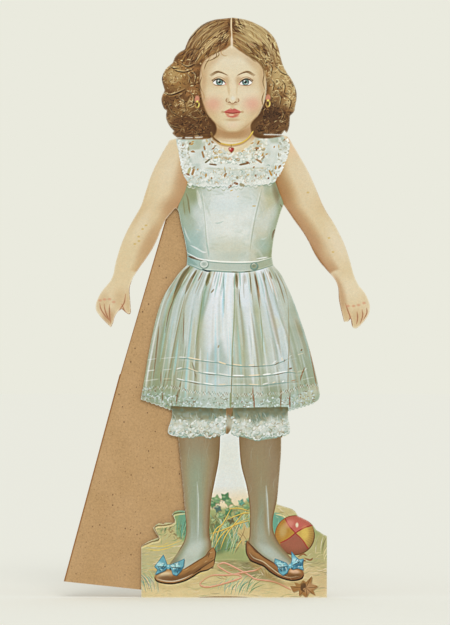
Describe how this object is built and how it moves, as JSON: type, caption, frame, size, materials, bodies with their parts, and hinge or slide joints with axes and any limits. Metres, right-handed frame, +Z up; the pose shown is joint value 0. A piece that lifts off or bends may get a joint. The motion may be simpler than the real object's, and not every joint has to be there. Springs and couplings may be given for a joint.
{
  "type": "paper doll",
  "caption": "Die-cut printed paper doll of a standing figure in underclothes, mounted on brown board with a folding easel leg hinged on linen at its back.",
  "frame": {"origin": "middle of the straight foot edge that the doll stands on, half way through the pasteboard", "axes": "+Z up the figure, -Y out of the printed face, +X to the viewer's right; the easel leaf is opened out flat towards -X"},
  "size_m": [0.1268, 0.0023, 0.24],
  "materials": {
    "printed_paper": "lithographed, light varnish",
    "pasteboard": "uncoated brown chipboard",
    "easel_board": "uncoated brown chipboard",
    "hinge_linen": "pasted unbleached linen tape"
  },
  "bodies": {
    "doll": {"print_sheet": "printed_paper", "doll_board": "pasteboard", "easel_leaf": "easel_board", "hinge_strip_fixed": "hinge_linen"},
    "wing": {"easel_wing": "easel_board", "hinge_strip_free": "hinge_linen"}
  },
  "joints": [
    {"name": "easel_hinge", "type": "hinge", "parent": "doll", "child": "wing", "pos_m": [-0.016, 0.0017, 0.09], "axis": [0, 0, -1], "range_deg": [0, 178]}
  ]
}
